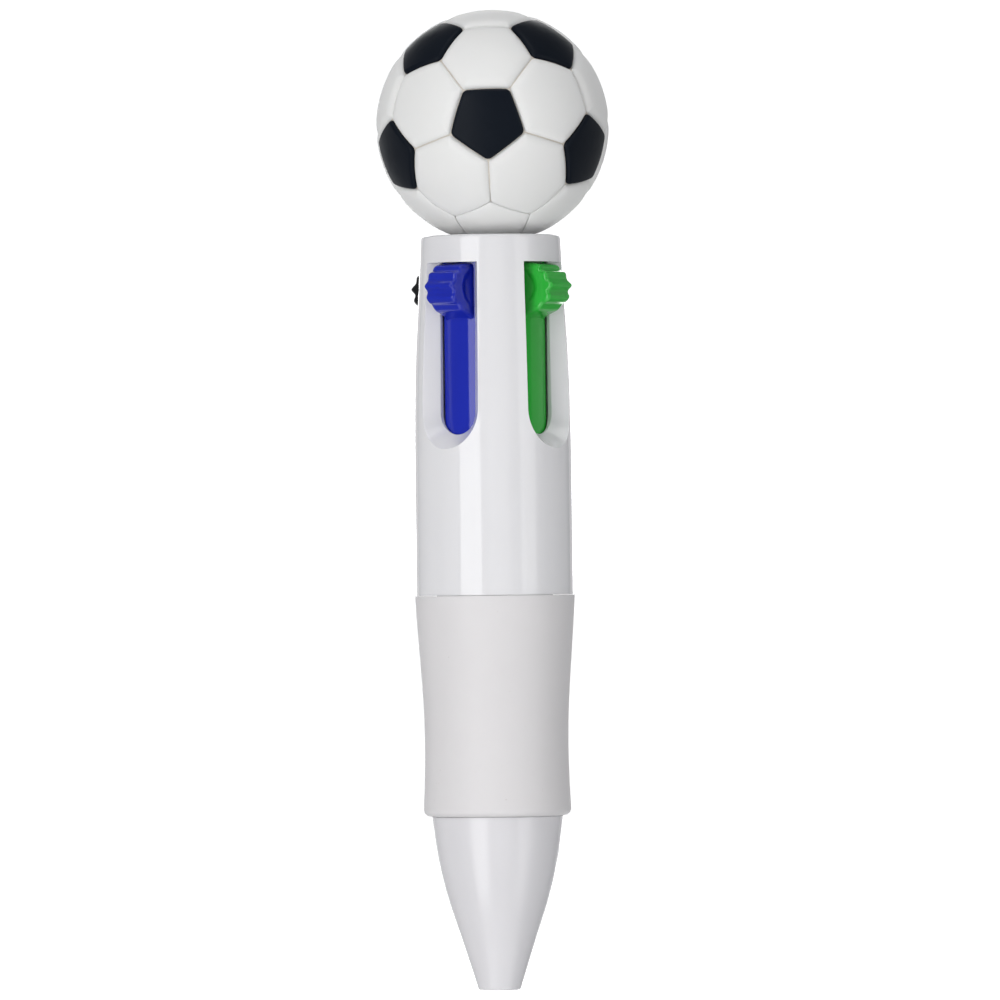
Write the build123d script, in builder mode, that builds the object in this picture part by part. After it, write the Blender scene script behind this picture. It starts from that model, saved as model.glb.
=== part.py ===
from build123d import *
from itertools import combinations
from math import asin, atan2, cos, degrees, radians, sin, tan
import os

os.makedirs("parts", exist_ok=True)

# Four-colour ball pen with a football on its cap, standing on its nose. Millimetres, +Z up,
# origin at the centre of the nose's end face, with the pen's axis along Z.

# ---- the four colours, each with the direction of its slot about the axis, degrees ----
colours = {"blue": 225, "green": 315, "black": 135, "red": 45}
travel = 13.5                  # how far each slider is pushed to bring out its point

# ---- upper barrel ----
barrel_r = 10.16
barrel_top = 97.3
barrel_top_r = 9.05
barrel_bore_r = 7.35
shoulder_z = 50.93             # where the barrel meets the grip
ledge_z = 50.8                 # the bore narrows here, into the spigot
spigot_r = 7.5
spigot_bore_r = 6.6
spigot_bottom = 42.6
lip_r = 6.05                   # turned-in lip that the guide disc rests on
lip_z = 43.4
thread_pitch = 1.8
thread_height = 0.3

# ---- slots ----
slot_half_width = 2.8
slot_top = 93.75
slot_bottom = 71.6
flare = 1.0                    # how much wider the slot gets for each mm outwards
flare_drop = 0.7               # how much lower its end gets for each mm outwards
flare_start_r = 7.1            # where it starts to widen, at its top end
flare_lean = 0.9               # the flared flanks lean in like the tapering barrel, degrees
slot_inside_r = 5.0

# ---- nose section and grip ----
grip_bottom = 22.4
core_r = 8.2                   # the nose section under the grip
collar_r = 8.8                 # and under the grip's thick upper end
collar_z = 41.0
socket_r = 7.9
socket_floor = 42.3
nose_hole_r = 2.05
nose_hole_length = 1.2
sleeve_gap = 0.04
sleeve_bevel = 0.05

# ---- ball ----
ball_r = 15.1
ball_z = 111.4
ball_aside = 0.42              # the soft cap sits this far off the pen's axis, towards ball_aside_angle
ball_aside_angle = -8
ball_turn = -10.8              # the front pentagon's azimuth, from -Y towards -X when negative
ball_tilt = 1.0                # and how far the pattern is turned about that pentagon
ball_wall = 1.8
inlay_depth = 0.55
inlay_gap = 0.06
groove_depth = 0.45
groove_half_width = 0.5
post_r = 2.6
post_top = 104.0
boss_r = 4.2
boss_bottom = ball_z - ball_r + 1.0

# ---- end plug and inner guide ----
plug_bottom = 95.4
plug_top = 97.1
stem_r = 1.95                  # the plug's stem, which holds the guide
stem_length = 5
fit_gap = 0.04
guide_bottom = 72.0
guide_half = 3.55
fin_thickness = 1.0
disc_thickness = 2.0
disc_hole_r = 1.56

# ---- sliders ----
bar_width = 5.7
bar_outer_r = 7.15
bar_inner_r = 4.3
bar_top = 94.8
bar_bottom = 66.0
knob_width = 4.65
knob_z = 90.65                 # height of the knob's longest rib
nib_bottom = 83.3
nib_height = 2.0
nib_inner_r = 3.7
seat_r = 1.95                  # the round shoulder that the spring pushes on
seat_height = 4.5
peg_r = 0.88
dimple_r = 7.7                 # round hollow in each side of the knob: its place from the axis,
dimple_z = 90.65
dimple_sphere_r = 2.6          # the sphere that it is part of, and how deep it goes
dimple_depth = 0.5
rib_round = 0.3
knob_round = 0.3

knob_root_r = bar_outer_r - 1
# the ribbed side view of the knob, as (distance from the axis, height above its longest rib)
knob_outline = [
    (knob_root_r, -2.3), (7.4, -3.35), (8.2, -3.5), (9.2, -3.05), (10.2, -2.28), (11.05, -1.55),
    (10.88, -0.75), (11.48, 0), (10.66, 0.85), (10.45, 1.7), (9.7, 2.05), (9.25, 2.6),
    (8.1, 2.95), (knob_root_r, 3.0),
]

# ---- refills: distances run down the refill from its pivot ----
pivot_r = 4.8
pivot_z = 64.0
rest_tilt = 2.05               # each refill leans in towards the nose hole
tube_r = 1.45
tube_bore_r = 1.1
tube_top = 1.8
tube_end = 38.0
adaptor_end = 42.0
point_r = 0.95
point_end = 52.75
ball_point_r = 0.35
ball_point_at = 52.65

# ---- springs ----
spring_r = 1.86
spring_wire_r = 0.15
spring_turns = 13

disc_top = lip_z + disc_thickness


def radial(angle):
    """Unit vector that points out from the axis at an angle in degrees."""
    return Vector(cos(radians(angle)), sin(radians(angle)), 0)


def side_plane(angle):
    """Plane through the axis: x runs outwards at the angle, y runs up."""
    out = radial(angle)
    return Plane(origin=(0, 0, 0), x_dir=out, z_dir=Vector(out.Y, -out.X, 0))


def flat_plane(angle, height):
    """Level plane at a height, with x running outwards at the angle."""
    return Plane(origin=(0, 0, height), x_dir=radial(angle), z_dir=(0, 0, 1))


def facing_plane(angle, distance, lean=0):
    """Plane that faces outwards, level with the slots' tops, leaning in towards its top."""
    out = radial(angle)
    facing = out * cos(radians(lean)) + Vector(0, 0, sin(radians(lean)))
    return Plane(origin=out * distance + Vector(0, 0, slot_top), x_dir=Vector(-out.Y, out.X, 0), z_dir=facing)


def refill_plane(angle):
    """Plane through a refill's own axis: origin at its pivot, y up along the refill."""
    out = radial(angle)
    tilt = radians(rest_tilt)
    up = out * sin(tilt) + Vector(0, 0, cos(tilt))
    across = out * cos(tilt) - Vector(0, 0, sin(tilt))
    return Plane(origin=out * pivot_r + Vector(0, 0, pivot_z), x_dir=across, z_dir=across.cross(up))


def refill_axis(angle):
    plane = refill_plane(angle)
    return Axis(plane.origin, plane.y_dir)


def save(part, name):
    part.label = name
    export_step(part, f"parts/{name}.step")


ball_centre = radial(ball_aside_angle) * ball_aside + Vector(0, 0, ball_z)


# ---- upper barrel: one moulding with four flared slots and a threaded spigot ----
def slot_outline(half_width, bottom):
    """Slot with a square top and a round bottom, measured down from its top."""
    end = bottom - slot_top
    centre = end + half_width
    with BuildSketch() as outline:
        with BuildLine():
            Line((-half_width, centre), (-half_width, 0))
            Line((-half_width, 0), (half_width, 0))
            Line((half_width, 0), (half_width, centre))
            ThreePointArc((half_width, centre), (0, end), (-half_width, centre))
        make_face()
    return outline.sketch


flare_depth = barrel_r + 0.4 - flare_start_r
slot_face = slot_outline(slot_half_width, slot_bottom)
flared_face = slot_outline(slot_half_width + flare * flare_depth, slot_bottom - flare_drop * flare_depth)

with BuildPart() as upper_barrel:
    with BuildSketch(Plane.XZ):
        with BuildLine():
            Polyline(
                (spigot_bore_r, lip_z), (lip_r, lip_z), (lip_r, spigot_bottom), (spigot_r, spigot_bottom),
                (spigot_r, shoulder_z), (barrel_r, shoulder_z), (barrel_r, 66),
            )
            Spline((barrel_r, 66), (10.12, 73), (9.88, 82), (9.40, 90), (barrel_top_r, barrel_top),
                   tangents=((0, 1), (-0.045, 1)))
            Polyline(
                (barrel_top_r, barrel_top), (barrel_bore_r, barrel_top), (barrel_bore_r, ledge_z + 0.9),
                (spigot_bore_r, ledge_z), (spigot_bore_r, lip_z),
            )
        make_face()
    revolve(axis=Axis.Z)
    rim = upper_barrel.edges().filter_by(GeomType.CIRCLE).group_by(Axis.Z)[-1].sort_by(SortBy.RADIUS)[-1]
    fillet(rim, 0.4)
    for angle in colours.values():
        with BuildSketch(facing_plane(angle, slot_inside_r)):
            add(slot_face)
        extrude(amount=barrel_r, mode=Mode.SUBTRACT)
        with BuildSketch(facing_plane(angle, flare_start_r, flare_lean)):
            add(slot_face)
        with BuildSketch(facing_plane(angle, flare_start_r + flare_depth, flare_lean)):
            add(flared_face)
        loft(ruled=True, mode=Mode.SUBTRACT)
    with BuildLine() as thread_path:
        Helix(pitch=thread_pitch, height=5.0, radius=spigot_r - 0.05, center=(0, 0, 44.4))
    with BuildSketch(Plane(origin=thread_path.line @ 0, x_dir=(1, 0, 0), z_dir=thread_path.line % 0)):
        Trapezoid(0.9, thread_height + 0.05, 60, rotation=-90, align=(Align.CENTER, Align.MIN))
    sweep(path=thread_path.line, is_frenet=True)
save(upper_barrel.part, "upper_barrel")

# ---- nose section: the glossy cone and, under the grip, its tubular shank ----
with BuildPart() as nose_section:
    with BuildSketch(Plane.XZ):
        with BuildLine():
            Line((nose_hole_r, 0), (2.7, 0))
            Spline((2.7, 0), (3.36, 2.1), (4.97, 7.1), (6.57, 12.0), (7.73, 17.0), (8.49, grip_bottom),
                   tangents=((0.3, 1), (0.12, 1)))
            Polyline((8.49, grip_bottom), (core_r, grip_bottom), (core_r, collar_z - 1), (collar_r, collar_z),
                     (collar_r, shoulder_z - fit_gap), (socket_r, shoulder_z - fit_gap),
                     (socket_r, socket_floor), (6.9, socket_floor), (6.7, grip_bottom))
            Spline((6.7, grip_bottom), (5.75, 14.5), (4.4, 9.5), (nose_hole_r, nose_hole_length))
            Line((nose_hole_r, nose_hole_length), (nose_hole_r, 0))
        make_face()
    revolve(axis=Axis.Z)
    tip_edge = nose_section.edges().filter_by(GeomType.CIRCLE).group_by(Axis.Z)[0].sort_by(SortBy.RADIUS)[-1]
    fillet(tip_edge, 0.3)
save(nose_section.part, "nose_section")

# ---- grip sleeve: soft rubber, waisted for the fingers ----
with BuildPart() as grip_sleeve:
    with BuildSketch(Plane.XZ):
        with BuildLine():
            Line((core_r + sleeve_gap, grip_bottom + 0.05), (9.56, grip_bottom + 0.05))
            Spline((9.56, grip_bottom + 0.05), (9.27, 31.5), (9.47, 38.2), (9.95, 45.0),
                   (10.31, shoulder_z - fit_gap), tangents=((-0.05, 1), (0.05, 1)))
            Polyline((10.31, shoulder_z - fit_gap), (collar_r + sleeve_gap, shoulder_z - fit_gap),
                     (collar_r + sleeve_gap, collar_z - 0.05), (core_r + sleeve_gap, collar_z - 1.05),
                     (core_r + sleeve_gap, grip_bottom + 0.05))
        make_face()
    revolve(axis=Axis.Z)
    rims = grip_sleeve.edges().filter_by(GeomType.CIRCLE).group_by(Axis.Z)
    fillet(rims[0].sort_by(SortBy.RADIUS)[-1], 0.9)
    rims = grip_sleeve.edges().filter_by(GeomType.CIRCLE).group_by(Axis.Z)
    chamfer(rims[-1].sort_by(SortBy.RADIUS)[-1], sleeve_bevel)
save(grip_sleeve.part, "grip_sleeve")

# ---- end plug: closes the barrel, carries the ball on its post and holds the guide ----
with BuildPart() as end_plug:
    with BuildSketch(Plane.XY.offset(plug_bottom)):
        Circle(barrel_bore_r - fit_gap)
    extrude(amount=plug_top - plug_bottom)
    with Locations(ball_centre):
        Sphere(ball_r + 0.05, mode=Mode.SUBTRACT)
    with BuildSketch(Plane.XY.offset(plug_bottom)):
        Circle(post_r)
    extrude(amount=post_top - plug_bottom)
    with BuildSketch(Plane.XY.offset(plug_bottom)):
        Circle(stem_r)
    extrude(amount=-stem_length)
    chamfer(end_plug.faces().sort_by(Axis.Z)[-1].edges(), 0.4)
save(end_plug.part, "end_plug")

# ---- football: a hollow moulding with black pentagon inlays ----
front = radial(270 + ball_turn)
side = Vector(-front.Y, front.X, 0)
icosa_step = atan2(2, 1)       # angle between neighbouring pentagons of a football
pentagon_angle = asin(0.34328)  # angle from a pentagon's centre to its corners
seam_start = pentagon_angle - radians(1.2)   # the seams run a little way into the inlays' pockets


def neighbour(turn):
    """Pentagon next to the front one, at a turn about the front direction; -90 points down."""
    around = side * cos(radians(turn)) + Vector(0, 0, 1) * sin(radians(turn))
    return front * cos(icosa_step) + around * sin(icosa_step)


ring = [neighbour(ball_tilt - 90 + 72 * k) for k in range(5)]
pentagons = [front] + ring + [v * -1 for v in [front] + ring]
base_pentagon = ring[0]        # it sits on the mounting and is left white
black_faces = [v for v in pentagons if v is not base_pentagon]
seams = [(a, b) for a, b in combinations(pentagons, 2) if abs(a.dot(b) - cos(icosa_step)) < 0.01]


def pentagon_wedge(centre, grow):
    """Five-sided wedge from near the ball's centre out through one pentagon."""
    corner = next(v for v in pentagons if abs(centre.dot(v) - cos(icosa_step)) < 0.01)
    toward = (corner - centre * centre.dot(corner)).normalized()
    with BuildPart() as wedge:
        for distance in (12, 17):
            with BuildSketch(Plane(origin=ball_centre + centre * distance, x_dir=toward, z_dir=centre)):
                RegularPolygon(distance * tan(pentagon_angle) + grow, 5)
        loft(ruled=True)
    return wedge.part


inlay_wedges = [pentagon_wedge(centre, -inlay_gap) for centre in black_faces]
pocket_wedges = [pentagon_wedge(centre, 0) for centre in black_faces]

with BuildPart() as ball_black_panels:
    add(inlay_wedges)
    with Locations(ball_centre):
        Sphere(ball_r, mode=Mode.INTERSECT)
        Sphere(ball_r - inlay_depth, mode=Mode.SUBTRACT)
save(ball_black_panels.part, "ball_black_panels")

with BuildPart() as inlay_pockets:
    add(pocket_wedges)
    with Locations(ball_centre):
        Sphere(ball_r - inlay_depth - 0.04, mode=Mode.SUBTRACT)

with BuildPart() as ball_body:
    with Locations(ball_centre):
        Sphere(ball_r)
        Sphere(ball_r - ball_wall, mode=Mode.SUBTRACT)
    with BuildSketch(Plane.XY.offset(boss_bottom)):
        Circle(boss_r)
    extrude(amount=post_top - 1 - boss_bottom)
    with BuildSketch(Plane.XY.offset(ball_z - ball_r - 1)):
        Circle(post_r + fit_gap)
    extrude(amount=12, mode=Mode.SUBTRACT)
    add(inlay_pockets.part, mode=Mode.SUBTRACT)
    for first, second in seams:
        normal = first.cross(second).normalized()
        start = first * cos(seam_start) + normal.cross(first) * sin(seam_start)
        with BuildSketch(Plane(origin=ball_centre, x_dir=start, z_dir=start.cross(normal))):
            with BuildLine():
                Polyline((ball_r - groove_depth, 0), (ball_r + 0.3, groove_half_width),
                         (ball_r + 0.3, -groove_half_width), close=True)
            make_face()
        revolve(axis=Axis(ball_centre, normal), revolution_arc=degrees(icosa_step - 2 * seam_start),
                mode=Mode.SUBTRACT)
save(ball_body.part, "ball_body")

# ---- inner guide: four fins that keep the sliders in their lanes ----
with BuildPart() as slider_guide:
    with BuildSketch(flat_plane(45, guide_bottom)):
        Rectangle(2 * guide_half, 2 * guide_half)
    extrude(amount=plug_bottom - guide_bottom)
    with BuildSketch(Plane.XY.offset(guide_bottom)):
        Rectangle(2 * (barrel_bore_r - 0.1), fin_thickness)
        Rectangle(fin_thickness, 2 * (barrel_bore_r - 0.1))
    extrude(amount=plug_bottom - guide_bottom)
    with BuildSketch(Plane.XY.offset(guide_bottom)):
        Circle(stem_r + fit_gap)
    extrude(amount=plug_bottom - guide_bottom, mode=Mode.SUBTRACT)
save(slider_guide.part, "slider_guide")

# ---- guide disc: the springs stand on it and the refills pass through it ----
disc_mid = lip_z + disc_thickness / 2
rest_rho = pivot_r - (pivot_z - disc_mid) * tan(radians(rest_tilt))
out_tilt = degrees(atan2(pivot_r - 0.75, pivot_z - travel + 2.5))
out_rho = pivot_r - (pivot_z - travel - disc_mid) * tan(radians(out_tilt))
hole_rho = (rest_rho + out_rho) / 2
hole_reach = (out_rho - rest_rho) / 2 + 0.16
with BuildPart() as guide_disc:
    with BuildSketch(Plane.XY.offset(lip_z)):
        Circle(spigot_bore_r - fit_gap)
        with PolarLocations(hole_rho, 4, start_angle=45):
            SlotCenterToCenter(2 * hole_reach, 2 * disc_hole_r, mode=Mode.SUBTRACT)
    extrude(amount=disc_thickness)
save(guide_disc.part, "guide_disc")


# ---- the four sliders, each with its spring and refill ----
def knob_cheek(edge, angle):
    """True for an edge round the flat side of a knob, clear of the bar."""
    middle = edge @ 0.5
    aside = abs(middle.dot(side_plane(angle).z_dir))
    return abs(aside - knob_width / 2) < 0.01 and middle.dot(radial(angle)) > bar_outer_r + 0.4


def make_slider(colour, angle):
    """Bar that runs in the slot, with a ribbed knob, a latch nib and a peg for the refill."""
    with BuildPart() as slider:
        with BuildSketch(flat_plane(angle, bar_bottom)):
            with Locations(((bar_inner_r + bar_outer_r) / 2 + 0.2, 0)):
                Rectangle(bar_outer_r - bar_inner_r + 0.4, bar_width)
            Circle(bar_outer_r, mode=Mode.INTERSECT)
        extrude(amount=bar_top - bar_bottom)
        with BuildSketch(flat_plane(angle, nib_bottom)):
            with Locations(((nib_inner_r + bar_inner_r + 0.5) / 2, 0)):
                Rectangle(bar_inner_r - nib_inner_r + 0.5, bar_width - 1.5)
        extrude(amount=nib_height)
        with BuildSketch(flat_plane(angle, bar_bottom)):
            with Locations((pivot_r, 0)):
                Circle(seat_r)
        extrude(amount=seat_height)
        with BuildSketch(side_plane(angle)):
            with BuildLine():
                Polyline(*[(r, knob_z + up) for r, up in knob_outline], close=True)
            make_face()
        knob = extrude(amount=knob_width / 2, both=True)
        ribs = knob.edges().filter_by(lambda e: abs((e % 0.5).dot(side_plane(angle).z_dir)) > 0.99)
        ribs = ribs.filter_by(lambda e: Vector(e.center().X, e.center().Y, 0).dot(radial(angle)) > 9)
        slider_ribs = [e for e in slider.edges() if any((e.center() - r.center()).length < 1e-4 for r in ribs)]
        fillet(slider_ribs, rib_round)
        cheeks = [e for e in slider.edges() if knob_cheek(e, angle)]
        fillet(cheeks, knob_round)
        aside = side_plane(angle).z_dir * (knob_width / 2 + dimple_sphere_r - dimple_depth)
        dimple = radial(angle) * dimple_r + Vector(0, 0, dimple_z)
        with Locations(dimple + aside, dimple - aside):
            Sphere(dimple_sphere_r, mode=Mode.SUBTRACT)
        profile = refill_plane(angle)
        with BuildSketch(profile):
            with BuildLine():
                Polyline((0, 2.6), (peg_r, 2.6), (peg_r, -1.6), (peg_r - 0.3, -2.0), (0, -2.0), close=True)
            make_face()
        revolve(axis=refill_axis(angle))
    save(slider.part, f"{colour}_slider")


def turned(colour, angle, piece, outline):
    """Round piece of a refill, turned from an outline of (radius, distance down the refill)."""
    with BuildPart() as body:
        with BuildSketch(refill_plane(angle)):
            with BuildLine():
                Polyline(*[(r, -down) for r, down in outline], close=True)
            make_face()
        revolve(axis=refill_axis(angle))
        if piece == "point":
            with Locations(refill_plane(angle).from_local_coords((0, -ball_point_at, 0))):
                Sphere(ball_point_r + 0.02, mode=Mode.SUBTRACT)
    save(body.part, f"{colour}_{piece}")


def make_writing_ball(colour, angle):
    with BuildPart() as ball:
        with Locations(refill_plane(angle).from_local_coords((0, -ball_point_at, 0))):
            Sphere(ball_point_r)
    save(ball.part, f"{colour}_writing_ball")


def make_spring(colour, angle):
    """Compression spring round the refill, from the guide disc up to the slider's shoulder."""
    plane = refill_plane(angle)
    low = (pivot_z - disc_top) / cos(radians(rest_tilt)) - 0.3
    high = pivot_z - bar_bottom
    height = low - high - 0.3
    base = plane.from_local_coords((0, -low, 0))
    with BuildPart() as spring:
        with BuildLine() as coil:
            Helix(pitch=height / spring_turns, height=height, radius=spring_r, center=base,
                  direction=plane.y_dir)
        with BuildSketch(Plane(origin=coil.line @ 0, z_dir=coil.line % 0)):
            Circle(spring_wire_r)
        sweep(path=coil.line, is_frenet=True)
    save(spring.part, f"{colour}_spring")


tube_outline = [(tube_bore_r, -tube_top), (tube_r, -tube_top), (tube_r, tube_end), (tube_bore_r, tube_end)]
ink_outline = [(0, 9), (tube_bore_r - 0.03, 9), (tube_bore_r - 0.03, tube_end - 2.1), (0, tube_end - 2.1)]
adaptor_outline = [
    (0.6, tube_end - 2), (tube_bore_r - 0.02, tube_end - 2), (tube_bore_r - 0.02, tube_end + 0.02),
    (tube_r, tube_end + 0.02), (1.2, tube_end + 2), (1.2, adaptor_end), (0.6, adaptor_end),
]
point_outline = [
    (0.25, adaptor_end - 2), (0.58, adaptor_end - 2), (0.58, adaptor_end + 0.02),
    (point_r, adaptor_end + 0.02), (point_r, 49.0), (0.8, 50.4), (0.72, 50.6), (0.42, point_end),
    (0, point_end), (0, 52.2), (0.25, 52.2),
]

for colour, angle in colours.items():
    make_slider(colour, angle)
    make_spring(colour, angle)
    turned(colour, angle, "refill_tube", tube_outline)
    turned(colour, angle, "ink", ink_outline)
    turned(colour, angle, "tip_adaptor", adaptor_outline)
    turned(colour, angle, "point", point_outline)
    make_writing_ball(colour, angle)
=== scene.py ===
import math

import bmesh
import bpy
from mathutils import Matrix, Vector


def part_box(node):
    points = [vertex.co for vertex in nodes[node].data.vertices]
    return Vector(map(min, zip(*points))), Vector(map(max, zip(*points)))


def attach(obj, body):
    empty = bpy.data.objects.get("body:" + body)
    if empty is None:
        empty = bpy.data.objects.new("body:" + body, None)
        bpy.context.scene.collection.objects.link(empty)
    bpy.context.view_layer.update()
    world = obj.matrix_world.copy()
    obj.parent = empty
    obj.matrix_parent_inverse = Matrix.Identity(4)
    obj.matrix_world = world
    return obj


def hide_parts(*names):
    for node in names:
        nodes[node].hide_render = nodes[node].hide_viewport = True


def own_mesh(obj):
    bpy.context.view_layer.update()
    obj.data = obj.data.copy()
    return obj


# Multicolour click pen with a football cap. Metres, +Z up the pen, nose end at the origin.
MM = 0.001
COLOURS = {"blue": 225, "green": 315, "black": 135, "red": 45}    # azimuth of each slider, degrees
REFILL_LEAN = math.radians(2.05)        # of each refill, its peg and its spring at rest

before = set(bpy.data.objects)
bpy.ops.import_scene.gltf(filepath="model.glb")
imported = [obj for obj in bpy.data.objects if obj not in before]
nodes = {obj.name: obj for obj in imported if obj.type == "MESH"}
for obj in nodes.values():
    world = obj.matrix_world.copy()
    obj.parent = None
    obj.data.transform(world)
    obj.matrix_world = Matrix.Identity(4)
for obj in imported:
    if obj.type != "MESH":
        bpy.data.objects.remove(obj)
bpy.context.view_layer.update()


# ---------------------------------------------------------------- node materials
def new_material(name):
    """Empty Principled material: (material, node tree, shader)."""
    material = bpy.data.materials.new(name)
    material.use_nodes = True
    tree = material.node_tree
    return material, tree, tree.nodes["Principled BSDF"]


def noise(tree, scale, detail=3.0, roughness=0.5):
    coords = tree.nodes.new("ShaderNodeTexCoord")
    node = tree.nodes.new("ShaderNodeTexNoise")
    node.inputs["Scale"].default_value = scale
    node.inputs["Detail"].default_value = detail
    node.inputs["Roughness"].default_value = roughness
    tree.links.new(coords.outputs["Object"], node.inputs["Vector"])
    return node


def spread(tree, source, low_value, high_value, from_min=0.3, from_max=0.7):
    """Map a noise value onto a small range."""
    node = tree.nodes.new("ShaderNodeMapRange")
    node.inputs["From Min"].default_value = from_min
    node.inputs["From Max"].default_value = from_max
    node.inputs["To Min"].default_value = low_value
    node.inputs["To Max"].default_value = high_value
    tree.links.new(source, node.inputs["Value"])
    return node.outputs["Result"]


def tint(tree, source, dark, light):
    """Colour that wanders between two near tones."""
    node = tree.nodes.new("ShaderNodeMix")
    node.data_type = "RGBA"
    node.inputs["A"].default_value = (*dark, 1)
    node.inputs["B"].default_value = (*light, 1)
    tree.links.new(source, node.inputs["Factor"])
    return node.outputs["Result"]


def bump(tree, shader, source, strength, distance):
    node = tree.nodes.new("ShaderNodeBump")
    node.inputs["Strength"].default_value = strength
    node.inputs["Distance"].default_value = distance
    tree.links.new(source, node.inputs["Height"])
    tree.links.new(node.outputs["Normal"], shader.inputs["Normal"])


def moulded_plastic(name, dark, light, roughness, grain=0.05, specular=0.5, subsurface=0.0):
    """Injection-moulded plastic: faint flow mottling, uneven gloss and orange peel."""
    material, tree, shader = new_material(name)
    flow = noise(tree, 90, 4)
    tree.links.new(tint(tree, flow.outputs["Fac"], dark, light), shader.inputs["Base Color"])
    smudge = noise(tree, 240, 5, 0.6)
    gloss = spread(tree, smudge.outputs["Fac"], roughness * 0.85, roughness * 1.2)
    tree.links.new(gloss, shader.inputs["Roughness"])
    peel = noise(tree, 900, 2)
    bump(tree, shader, peel.outputs["Fac"], grain, 0.0001)
    shader.inputs["IOR"].default_value = 1.5
    shader.inputs["Specular IOR Level"].default_value = specular
    if subsurface:
        shader.inputs["Subsurface Weight"].default_value = subsurface
        shader.inputs["Subsurface Radius"].default_value = (1.0, 0.95, 0.9)
        shader.inputs["Subsurface Scale"].default_value = 0.0008
    return material


def soft_rubber():
    """Translucent off-white silicone: fine matte skin with a few specks of dust."""
    material, tree, shader = new_material("grip_silicone")
    cloud = noise(tree, 70, 5, 0.6)
    colour = tint(tree, cloud.outputs["Fac"], (0.685, 0.668, 0.675), (0.735, 0.72, 0.725))
    dust = noise(tree, 1400, 1)
    speck = spread(tree, dust.outputs["Fac"], 0, 0.35, 0.785, 0.82)
    darken = tree.nodes.new("ShaderNodeMix")
    darken.data_type = "RGBA"
    darken.inputs["B"].default_value = (0.42, 0.38, 0.34, 1)
    tree.links.new(speck, darken.inputs["Factor"])
    tree.links.new(colour, darken.inputs["A"])
    tree.links.new(darken.outputs["Result"], shader.inputs["Base Color"])
    skin = noise(tree, 6000, 3, 0.7)
    tree.links.new(spread(tree, cloud.outputs["Fac"], 0.50, 0.62), shader.inputs["Roughness"])
    bump(tree, shader, skin.outputs["Fac"], 0.25, 0.00003)
    shader.inputs["IOR"].default_value = 1.41
    shader.inputs["Subsurface Weight"].default_value = 0.35
    shader.inputs["Subsurface Radius"].default_value = (1.0, 0.95, 0.95)
    shader.inputs["Subsurface Scale"].default_value = 0.0012
    return material


def metal(name, dark, light, roughness, scale=2500):
    """Drawn or turned metal with fine uneven polish."""
    material, tree, shader = new_material(name)
    streak = noise(tree, scale, 4, 0.6)
    tree.links.new(tint(tree, streak.outputs["Fac"], dark, light), shader.inputs["Base Color"])
    tree.links.new(spread(tree, streak.outputs["Fac"], roughness * 0.7, roughness * 1.4),
                   shader.inputs["Roughness"])
    bump(tree, shader, streak.outputs["Fac"], 0.1, 0.00001)
    shader.inputs["Metallic"].default_value = 1.0
    return material


def clear_tube():
    """Milky polypropylene tube, seen through to the ink."""
    material, tree, shader = new_material("tube_plastic")
    haze = noise(tree, 400, 4)
    tree.links.new(tint(tree, haze.outputs["Fac"], (0.90, 0.92, 0.92), (0.95, 0.96, 0.96)),
                   shader.inputs["Base Color"])
    tree.links.new(spread(tree, haze.outputs["Fac"], 0.08, 0.14), shader.inputs["Roughness"])
    shader.inputs["IOR"].default_value = 1.49
    shader.inputs["Transmission Weight"].default_value = 0.9
    return material


def dress(node, material):
    """Give a CAD node its material."""
    node.data.materials.clear()
    node.data.materials.append(material)


barrel_white = moulded_plastic("barrel_plastic", (0.74, 0.735, 0.75), (0.77, 0.765, 0.78), 0.06, 0.02,
                               subsurface=0.15)
nose_white = moulded_plastic("nose_plastic", (0.70, 0.69, 0.71), (0.73, 0.72, 0.74), 0.22, 0.03,
                             subsurface=0.15)
inner_white = moulded_plastic("inner_plastic", (0.58, 0.58, 0.57), (0.64, 0.64, 0.63), 0.42, 0.1)
adaptor_white = moulded_plastic("adaptor_plastic", (0.66, 0.66, 0.65), (0.72, 0.72, 0.71), 0.34, 0.1)
ball_white = moulded_plastic("football_white_plastic", (0.75, 0.75, 0.74), (0.79, 0.79, 0.78), 0.55, 0.05,
                             specular=0.2, subsurface=0.25)
seam_white = moulded_plastic("football_seam_plastic", (0.55, 0.50, 0.44), (0.62, 0.58, 0.52), 0.5, 0.05)
ball_black = moulded_plastic("football_black_paint", (0.004, 0.006, 0.010), (0.007, 0.010, 0.016), 0.38, 0.05,
                             specular=0.07)
knob_tones = {
    "blue": ((0.007, 0.017, 0.35), (0.012, 0.026, 0.44)),
    "green": ((0.018, 0.36, 0.032), (0.028, 0.45, 0.045)),
    "black": ((0.006, 0.007, 0.007), (0.010, 0.011, 0.011)),
    "red": ((0.42, 0.008, 0.010), (0.52, 0.012, 0.014)),
}
ink_tones = {"blue": (0.01, 0.015, 0.20), "green": (0.01, 0.15, 0.03), "black": (0.004, 0.004, 0.004),
             "red": (0.30, 0.005, 0.008)}
spring_wire = metal("spring_wire", (0.55, 0.55, 0.57), (0.72, 0.72, 0.74), 0.19)
point_brass = metal("point_brass", (0.62, 0.43, 0.16), (0.78, 0.56, 0.24), 0.19)
carbide = metal("carbide_ball", (0.55, 0.55, 0.57), (0.66, 0.66, 0.68), 0.12)
tube_plastic = clear_tube()

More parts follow.
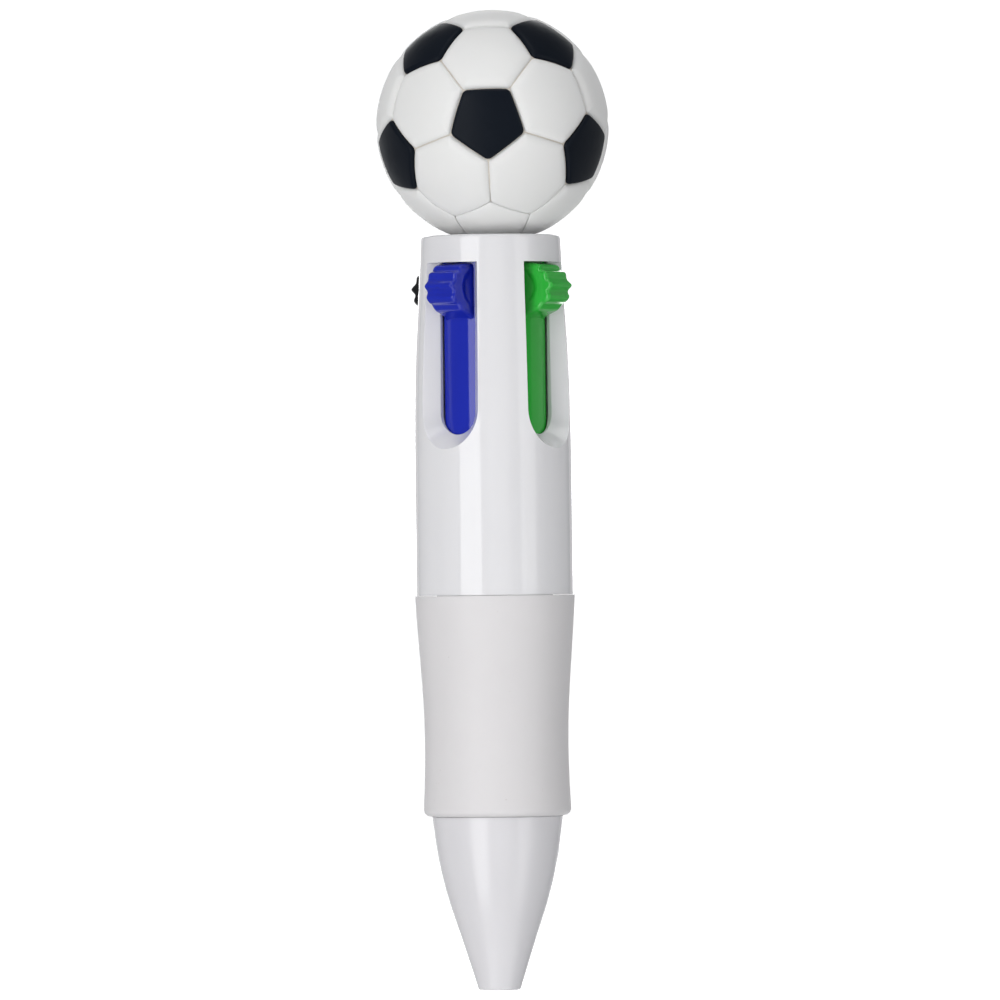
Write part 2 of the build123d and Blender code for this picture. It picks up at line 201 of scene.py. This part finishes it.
dress(nodes["upper_barrel"], barrel_white)
dress(nodes["end_plug"], barrel_white)
dress(nodes["nose_section"], nose_white)
dress(nodes["grip_sleeve"], soft_rubber())
dress(nodes["slider_guide"], inner_white)
dress(nodes["guide_disc"], inner_white)
slider_plastic = {}
for colour in COLOURS:
    dark, light = knob_tones[colour]
    slider_plastic[colour] = moulded_plastic(f"{colour}_plastic", dark, light, 0.08, 0.02, specular=0.5)
    dress(nodes[f"{colour}_slider"], slider_plastic[colour])
    deep = ink_tones[colour]
    ink = moulded_plastic(f"{colour}_ink_paste", deep, tuple(1.4 * c for c in deep), 0.22, 0.1)
    dress(nodes[f"{colour}_ink"], ink)
    dress(nodes[f"{colour}_refill_tube"], tube_plastic)
    dress(nodes[f"{colour}_tip_adaptor"], adaptor_white)
    dress(nodes[f"{colour}_point"], point_brass)
    dress(nodes[f"{colour}_writing_ball"], carbide)


def add_mesh(name, vertices, faces, material, body, slot):
    """New smooth-shaded piece that rides on a CAD body."""
    mesh = bpy.data.meshes.new(name)
    mesh.from_pydata(vertices, [], faces)
    mesh.validate()
    shape = bmesh.new()
    shape.from_mesh(mesh)
    bmesh.ops.recalc_face_normals(shape, faces=shape.faces)
    shape.to_mesh(mesh)
    shape.free()
    mesh.materials.append(material)
    mesh.shade_smooth()
    piece = bpy.data.objects.new(name, mesh)
    bpy.context.scene.collection.objects.link(piece)
    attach(piece, body)
    return piece


# ---------------------------------------------------------------- football
BALL_TURN = -10.8              # the front pentagon's azimuth, degrees
BALL_TILT = 1.0                # and the pattern's turn about it
PENTAGON_ANGLE = math.asin(0.34328)      # from a pentagon's centre to its corners
HEXAGON_ANGLE = math.asin(0.40355)       # and for a hexagon
ICOSA_STEP = math.atan2(2, 1)            # between neighbouring pentagons
SEAM_DEPTH = 0.65 * MM
PANEL_THICKNESS = 1.0 * MM
ARC_STEPS = 8
SIDE_STEPS = 10
WHITE_FACE = {"gap": 0.05, "corner": 0.6, "roll": 1.5, "raise": 0.02}    # mm
BLACK_FACE = {"gap": -0.02, "corner": 0.9, "roll": 0.55, "raise": 0.02}
FADE_FROM, FADE_TO = -0.52, -0.74    # the seams grow faint towards the ball's foot
FAINTEST = 0.3

ball_low, ball_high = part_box("ball_body")
ball_radius = (ball_high.y - ball_low.y) / 2
ball_centre = Vector(((ball_low.x + ball_high.x) / 2, (ball_low.y + ball_high.y) / 2,
                      ball_high.z - ball_radius))

turn = math.radians(270 + BALL_TURN)
front = Vector((math.cos(turn), math.sin(turn), 0))
side = Vector((-front.y, front.x, 0))


def pentagon_near_front(angle):
    around = side * math.cos(angle) + Vector((0, 0, 1)) * math.sin(angle)
    return front * math.cos(ICOSA_STEP) + around * math.sin(ICOSA_STEP)


ring = [pentagon_near_front(math.radians(BALL_TILT - 90 + 72 * k)) for k in range(5)]
pentagons = [front] + ring + [-v for v in [front] + ring]
white_pentagon = 1             # straight below the front one, on the mounting


def joined(a, b):
    return abs(a.dot(b) - math.cos(ICOSA_STEP)) < 0.01


def pentagon_corner(a):
    """Direction of one corner of pentagon a."""
    b = next(v for v in pentagons if joined(a, v))
    across = (b - a * a.dot(b)).normalized()
    return a * math.cos(PENTAGON_ANGLE) + across * math.sin(PENTAGON_ANGLE)


def hexagons():
    """(centre, one corner) of the twenty hexagons, each between three pentagons."""
    found = []
    for i, a in enumerate(pentagons):
        for j, b in enumerate(pentagons[:i]):
            for c in pentagons[:j]:
                if joined(a, b) and joined(b, c) and joined(a, c):
                    across = (b - a * a.dot(b)).normalized()
                    corner = a * math.cos(PENTAGON_ANGLE) + across * math.sin(PENTAGON_ANGLE)
                    found.append(((a + b + c).normalized(), corner))
    return found


def rounded_outline(sides, apothem, corner):
    """Points of a regular polygon with rounded corners, first corner on the x axis, in mm."""
    half = math.pi / sides
    reach = (apothem - corner) / math.cos(half)
    points = []
    for k in range(sides):
        at = 2 * half * k
        for i in range(ARC_STEPS + 1):
            a = at - half + 2 * half * i / ARC_STEPS
            points.append((reach * math.cos(at) + corner * math.cos(a),
                           reach * math.sin(at) + corner * math.sin(a)))
        here, there = points[-1], at + 2 * half
        nxt = (reach * math.cos(there) + corner * math.cos(at + half),
               reach * math.sin(there) + corner * math.sin(at + half))
        for i in range(1, SIDE_STEPS):
            f = i / SIDE_STEPS
            points.append((here[0] + (nxt[0] - here[0]) * f, here[1] + (nxt[1] - here[1]) * f))
    return points


def add_panel(vertices, faces, centre, corner, sides, angle, style):
    """One panel as a closed shell: rounded edge, gently crowned face, side wall and back."""
    radius = ball_radius / MM
    apothem = radius * math.tan(angle) * math.cos(math.pi / sides) - style["gap"]
    x = (corner - centre * centre.dot(corner)).normalized()
    y = centre.cross(x)
    roll = style["roll"]
    insets = [roll * f for f in (0, 0.015, 0.05, 0.11, 0.2, 0.32, 0.47, 0.65, 0.85, 1.1)]

    def place(u, v, drop):
        direction = (centre + x * (u / radius) + y * (v / radius)).normalized()
        fade = min(max((direction.z - FADE_TO) / (FADE_FROM - FADE_TO), 0), 1)
        drop *= FAINTEST + (1 - FAINTEST) * fade * fade * (3 - 2 * fade)
        return ball_centre + direction * (ball_radius + (style["raise"] - drop) * MM)

    rings = []
    for inset in insets:
        t = max(0.0, 1 - inset / roll)
        drop = (SEAM_DEPTH / MM + style["raise"]) * (1 - math.sqrt(max(0.0, 1 - t ** 1.9)))
        outline = rounded_outline(sides, apothem - inset, max(style["corner"] - 0.8 * inset, 0.12))
        rings.append([place(u, v, drop) for u, v in outline])
    last = rounded_outline(sides, apothem - insets[-1], max(style["corner"] - 0.8 * insets[-1], 0.12))
    for scale in (0.8, 0.55, 0.3):
        rings.append([place(u * scale, v * scale, 0) for u, v in last])
    around = len(last)
    back = ball_radius - PANEL_THICKNESS
    first = len(vertices)
    rings.insert(0, [ball_centre + (p - ball_centre).normalized() * back for p in rings[0]])
    for points in rings:
        vertices.extend(points)
    top = len(vertices)
    vertices.append(place(0, 0, 0))
    vertices.append(ball_centre + centre * back)
    for j in range(len(rings) - 1):
        a = first + j * around
        for k in range(around):
            n = (k + 1) % around
            faces.append((a + k, a + n, a + around + n, a + around + k))
    a = first + (len(rings) - 1) * around
    for k in range(around):
        n = (k + 1) % around
        faces.append((a + k, a + n, top))
        faces.append((first + n, first + k, top + 1))


def build_core():
    """Round body under the panels, seen only at the bottom of the seams."""
    mesh = bpy.data.meshes.new("football_core")
    shape = bmesh.new()
    bmesh.ops.create_icosphere(shape, subdivisions=6, radius=ball_radius - 0.75 * SEAM_DEPTH)
    bmesh.ops.translate(shape, verts=shape.verts, vec=ball_centre)
    shape.to_mesh(mesh)
    shape.free()
    mesh.materials.append(seam_white)
    mesh.shade_smooth()
    core = bpy.data.objects.new("football_core", mesh)
    bpy.context.scene.collection.objects.link(core)
    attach(core, "barrel")
    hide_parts("ball_body")


def build_football():
    white = ([], [])
    black = ([], [])
    for centre, corner in hexagons():
        add_panel(*white, centre, corner, 6, HEXAGON_ANGLE, WHITE_FACE)
    for index, centre in enumerate(pentagons):
        if index == white_pentagon:
            add_panel(*white, centre, pentagon_corner(centre), 5, PENTAGON_ANGLE, WHITE_FACE)
        else:
            add_panel(*black, centre, pentagon_corner(centre), 5, PENTAGON_ANGLE, BLACK_FACE)
    whites = add_mesh("football_white", *white, ball_white, "barrel", "ball_white")
    blacks = add_mesh("football_black", *black, ball_black, "barrel", "ball_black")
    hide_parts("ball_body")
    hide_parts("ball_black_panels")


build_core()
build_football()

# ---------------------------------------------------------------- sliders
# the knob seen from the side: (distance from the pen's axis, height above its longest rib), mm
KNOB_TIPS = [(6.4, -4.7), (7.15, -4.05), (8.2, -3.56), (9.25, -3.12), (9.95, -2.42), (10.62, -2.08),
             (11.08, -1.52), (10.86, -0.76), (11.5, 0.02), (10.72, 0.82), (10.5, 1.66), (9.72, 2.0),
             (9.3, 2.62), (8.1, 2.93), (6.4, 3.0)]
KNOB_MIDDLE = (8.5, -0.2)
KNOB_ABOVE_BOTTOM = 24.65      # from the bar's bottom to the longest rib
KNOB_HALF = 2.325
KNOB_ROUND = 0.5
HOLLOW_AT = (7.55, -0.1)
HOLLOW_REACH = 1.9
HOLLOW_DEPTH = 0.6
CURVE_STEPS = 6
BAR_INNER, BAR_OUTER, BAR_HALF, BAR_ROUND = 4.3, 7.15, 2.85, 0.55
BAR_LENGTH = 28.8
BAR_RINGS = (0, 0.2, 28.6, BAR_LENGTH)
NIB_INNER, NIB_OUTER, NIB_HALF = 3.7, 4.8, 2.1
NIB_RINGS = (17.3, 19.3)
SHOULDER_R, SHOULDER_TOP = 1.95, 4.5     # the spring pushes on it from below
PEG_R, PEG_LOW, PEG_HIGH = 0.88, -3.6, 0.6
PIVOT_R, PIVOT_ABOVE_BOTTOM = 4.8, -2.0


def smooth_curve(points):
    """Curve through the points, left open (Catmull-Rom)."""
    ends = [points[0]] + points + [points[-1]]
    curve = []
    for i in range(1, len(ends) - 2):
        for j in range(CURVE_STEPS):
            f = j / CURVE_STEPS
            point = []
            for a, b, c, d in zip(*ends[i - 1:i + 3]):
                square = (2 * a - 5 * b + 4 * c - d) * f * f
                cube = (3 * b - a - 3 * c + d) * f ** 3
                point.append(0.5 * (2 * b + (c - a) * f + square + cube))
            curve.append(tuple(point))
    return curve + [points[-1]]


def skin(vertices, faces, rings):
    """Closed shell over a stack of rings, with a point in the middle of each end."""
    around = len(rings[0])
    first = len(vertices)
    for points in rings:
        vertices.extend(points)
    ends = len(vertices)
    for points in (rings[0], rings[-1]):
        vertices.append(sum(points, Vector()) / around)
    for j in range(len(rings) - 1):
        a = first + j * around
        for k in range(around):
            n = (k + 1) % around
            faces.append((a + k, a + n, a + around + n, a + around + k))
    last = first + (len(rings) - 1) * around
    for k in range(around):
        n = (k + 1) % around
        faces.append((first + n, first + k, ends))
        faces.append((last + k, last + n, ends + 1))


def knob_rings(place):
    """Rings across the knob, from one hollowed cheek to the other."""
    outline = smooth_curve(KNOB_TIPS)
    half = [(f, KNOB_HALF) for f in (0.06, 0.14, 0.22, 0.3, 0.4, 0.5, 0.6, 0.7, 0.78)]
    for step in range(7):
        a = math.radians(15 * step)
        inset = KNOB_ROUND * (1 - math.sin(a)) / 2.6
        half.append((1 - inset, KNOB_HALF - KNOB_ROUND * (1 - math.cos(a))))
    rings = []
    for sign in (-1, 1):
        for scale, aside in (half if sign < 0 else reversed(half)):
            points = []
            for r, up in outline:
                r = KNOB_MIDDLE[0] + (r - KNOB_MIDDLE[0]) * scale
                up = KNOB_MIDDLE[1] + (up - KNOB_MIDDLE[1]) * scale
                away = math.hypot(r - HOLLOW_AT[0], (up - HOLLOW_AT[1]) * 0.8) / HOLLOW_REACH
                hollow = HOLLOW_DEPTH * max(0, 1 - away * away) ** 2
                points.append(place(r, sign * (aside - hollow), KNOB_ABOVE_BOTTOM + up))
            rings.append(points)
    return rings


def bar_outline():
    """Half-round-edged section of the bar: (distance outwards, sideways)."""
    edge = math.asin((BAR_HALF - BAR_ROUND) / (BAR_OUTER - BAR_ROUND))
    corner = ((BAR_OUTER - BAR_ROUND) * math.cos(edge), BAR_HALF - BAR_ROUND)
    right = [(BAR_INNER, BAR_HALF)]
    for step in range(7):
        a = math.pi / 2 + (edge - math.pi / 2) * step / 6
        right.append((corner[0] + BAR_ROUND * math.cos(a), corner[1] + BAR_ROUND * math.sin(a)))
    for step in range(1, 6):
        a = edge * (1 - step / 6)
        right.append((BAR_OUTER * math.cos(a), BAR_OUTER * math.sin(a)))
    return right + [(BAR_OUTER, 0)] + [(x, -y) for x, y in reversed(right)]


def build_slider(colour):
    """Bar with softened edges, ribbed knob, latch nib, spring shoulder and refill peg."""
    box_low, box_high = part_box(f"{colour}_slider")
    turn = math.radians(COLOURS[colour])
    out = Vector((math.cos(turn), math.sin(turn), 0))
    across = Vector((-out.y, out.x, 0))
    bottom = box_high.z - BAR_LENGTH * MM

    def place(r, aside, up):
        return out * (r * MM) + across * (aside * MM) + Vector((0, 0, bottom + up * MM))

    def round_rings(radius, low_up, high_up, lean=0.0):
        rings = []
        for up in (low_up, high_up):
            middle = PIVOT_R + (up - PIVOT_ABOVE_BOTTOM) * math.tan(lean)
            rings.append([place(middle + radius * math.cos(math.radians(a)),
                                radius * math.sin(math.radians(a)), up) for a in range(0, 360, 10)])
        return rings

    vertices, faces = [], []
    section = bar_outline()
    skin(vertices, faces, [[place(x, y, up) for x, y in section] for up in BAR_RINGS])
    skin(vertices, faces, knob_rings(place))
    nib = [(NIB_INNER, -NIB_HALF), (NIB_OUTER, -NIB_HALF), (NIB_OUTER, NIB_HALF), (NIB_INNER, NIB_HALF)]
    skin(vertices, faces, [[place(x, y, up) for x, y in nib] for up in NIB_RINGS])
    skin(vertices, faces, round_rings(SHOULDER_R, 0, SHOULDER_TOP))
    skin(vertices, faces, round_rings(PEG_R, PEG_LOW, PEG_HIGH, REFILL_LEAN))
    slider = add_mesh(f"{colour}_shaped_slider", vertices, faces, slider_plastic[colour],
                      f"{colour}_slider", f"slider_{colour}")
    slider.data.set_sharp_from_angle(angle=math.radians(40))
    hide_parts(f"{colour}_slider")


for colour in COLOURS:
    build_slider(colour)

# ---------------------------------------------------------------- springs
SPRING_R = 1.86 * MM
WIRE_R = 0.15 * MM
SPRING_TURNS = 12
END_CLOSING = 0.055            # how much the end turns close up
SPRING_ASIDE = 0.13 * MM       # leaves room for the refill to lean
TURN_STEPS = 36
WIRE_SIDES = 10


def build_spring(colour):
    """Open-coiled spring with closed end turns, leaning with its refill."""
    box_low, box_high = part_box(f"{colour}_spring")
    out = Vector((math.cos(math.radians(COLOURS[colour])), math.sin(math.radians(COLOURS[colour])), 0))
    centre = (box_low + box_high) / 2 + out * SPRING_ASIDE
    up = (out * math.sin(REFILL_LEAN) + Vector((0, 0, math.cos(REFILL_LEAN)))).normalized()
    x = up.cross(Vector((-out.y, out.x, 0))).normalized()
    y = up.cross(x)
    length = (box_high.z - box_low.z) - 2 * WIRE_R
    start = centre - up * (length / 2)
    steps = SPRING_TURNS * TURN_STEPS
    vertices = []
    faces = []
    for i in range(steps + 1):
        f = i / steps
        rise = length * (f - END_CLOSING * math.sin(2 * math.pi * f))
        a = 2 * math.pi * SPRING_TURNS * f
        radial = x * math.cos(a) + y * math.sin(a)
        middle = start + up * rise + radial * SPRING_R
        for k in range(WIRE_SIDES):
            b = 2 * math.pi * k / WIRE_SIDES
            vertices.append(middle + radial * (WIRE_R * math.cos(b)) + up * (WIRE_R * math.sin(b)))
    for i in range(steps):
        for k in range(WIRE_SIDES):
            n = (k + 1) % WIRE_SIDES
            a = i * WIRE_SIDES
            faces.append((a + k, a + n, a + WIRE_SIDES + n, a + WIRE_SIDES + k))
    faces.append(tuple(reversed(range(WIRE_SIDES))))
    faces.append(tuple(range(steps * WIRE_SIDES, (steps + 1) * WIRE_SIDES)))
    spring = add_mesh(f"{colour}_coil_spring", vertices, faces, spring_wire, "barrel", "spring_steel")
    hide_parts(f"{colour}_spring")
    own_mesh(spring)


for colour in COLOURS:
    build_spring(colour)

# ---------------------------------------------------------------- studio
VIEW_AZIMUTH = math.radians(-8)
CAMERA_DISTANCE = 1.3
CAMERA_HEIGHT = 0.051
AIM_HEIGHT = 0.0632
FIELD_OF_VIEW = math.radians(5.685)
AIM_ASIDE = 0.0008             # the pen stands a little left of the picture's middle
ROLL = math.radians(0.7)

sight = Vector((math.sin(VIEW_AZIMUTH), -math.cos(VIEW_AZIMUTH), 0))
rightwards = Vector((math.cos(VIEW_AZIMUTH), math.sin(VIEW_AZIMUTH), 0))


def build_camera():
    data = bpy.data.cameras.new("camera")
    data.sensor_width = 36
    data.angle = FIELD_OF_VIEW
    data.clip_start = 0.01
    data.clip_end = 20
    camera = bpy.data.objects.new("camera", data)
    bpy.context.scene.collection.objects.link(camera)
    target = rightwards * AIM_ASIDE + Vector((0, 0, AIM_HEIGHT))
    place = sight * CAMERA_DISTANCE + rightwards * AIM_ASIDE + Vector((0, 0, CAMERA_HEIGHT))
    rotation = (place - target).to_track_quat("Z", "Y").to_matrix().to_4x4()
    camera.matrix_world = Matrix.Translation(place) @ rotation @ Matrix.Rotation(-ROLL, 4, "Z")
    bpy.context.scene.camera = camera


def softbox(name, azimuth, elevation, distance, width, height, radiance, colour=(1, 1, 1)):
    """Area light that faces the pen, at an angle from the line of sight, with a given brightness."""
    a = VIEW_AZIMUTH + math.radians(azimuth)
    e = math.radians(elevation)
    away = Vector((math.sin(a) * math.cos(e), -math.cos(a) * math.cos(e), math.sin(e)))
    data = bpy.data.lights.new(name, "AREA")
    data.shape = "RECTANGLE"
    data.size = width
    data.size_y = height
    data.energy = radiance * math.pi * width * height
    data.color = colour
    light = bpy.data.objects.new(name, data)
    bpy.context.scene.collection.objects.link(light)
    light.location = Vector((0, 0, AIM_HEIGHT)) + away * distance
    light.rotation_euler = away.to_track_quat("Z", "Y").to_euler()
    light.visible_camera = False


def build_stage():
    """Seamless white cyclorama: a round floor that curves up into a wall all the way round."""
    reach, rise, bend, around = 2.4, 2.2, 0.5, 72
    profile = [(0.3 * k, 0.0) for k in range(1, 6)] + [(reach - bend, 0.0)]
    profile += [(reach - bend + bend * math.sin(math.radians(a)), bend - bend * math.cos(math.radians(a)))
                for a in range(10, 91, 10)]
    profile.append((reach, rise))
    vertices = [(0, 0, 0)]
    for distance, height in profile:
        for k in range(around):
            a = 2 * math.pi * k / around
            vertices.append((distance * math.cos(a), distance * math.sin(a), height))
    faces = [(0, 1 + k, 1 + (k + 1) % around) for k in range(around)]
    for row in range(len(profile) - 1):
        for k in range(around):
            a, b = 1 + row * around + k, 1 + row * around + (k + 1) % around
            faces.append((a, a + around, b + around, b))
    mesh = bpy.data.meshes.new("cyclorama")
    mesh.from_pydata(vertices, [], faces)
    mesh.shade_smooth()
    material, tree, shader = new_material("cyclorama_paint")
    fibre = noise(tree, 60, 4)
    tree.links.new(tint(tree, fibre.outputs["Fac"], (0.93, 0.93, 0.93), (0.96, 0.96, 0.96)),
                   shader.inputs["Base Color"])
    shader.inputs["Roughness"].default_value = 0.9
    shader.inputs["Emission Color"].default_value = (1, 1, 1, 1)
    shader.inputs["Emission Strength"].default_value = 0.9
    mesh.materials.append(material)
    room = bpy.data.objects.new("cyclorama", mesh)
    room.visible_diffuse = False
    room.visible_glossy = False
    room.visible_shadow = False
    bpy.context.scene.collection.objects.link(room)


def build_world():
    world = bpy.data.worlds.new("studio")
    world.use_nodes = True
    world.node_tree.nodes["Background"].inputs["Color"].default_value = (0.94, 0.96, 1.0, 1)
    world.node_tree.nodes["Background"].inputs["Strength"].default_value = 0.2
    bpy.context.scene.world = world


bpy.context.scene.view_settings.view_transform = "Standard"
build_camera()
build_stage()
build_world()
# azimuth and elevation in degrees, distance, width and height in metres, brightness
softbox("key_softbox", -34, 0, 0.6, 0.34, 0.95, 3.1)
softbox("fill_softbox", 52, 0, 0.6, 0.26, 0.95, 1.5)
softbox("front_softbox", 8, 0, 0.95, 0.5, 0.95, 0.42)
softbox("right_side_softbox", 112, 0, 0.7, 0.6, 1.0, 0.32)
softbox("left_side_softbox", -118, 0, 0.7, 0.6, 1.0, 0.35)
softbox("right_rim_softbox", 160, 0, 0.8, 0.4, 0.95, 0.5)
softbox("left_rim_softbox", -160, 0, 0.8, 0.4, 0.95, 0.5)
softbox("back_softbox", 180, 0, 0.6, 0.34, 0.95, 2.4)
softbox("top_softbox", 10, 75, 0.7, 0.5, 0.5, 1.8)
softbox("floor_softbox", 10, -65, 0.7, 0.6, 0.6, 1.2)
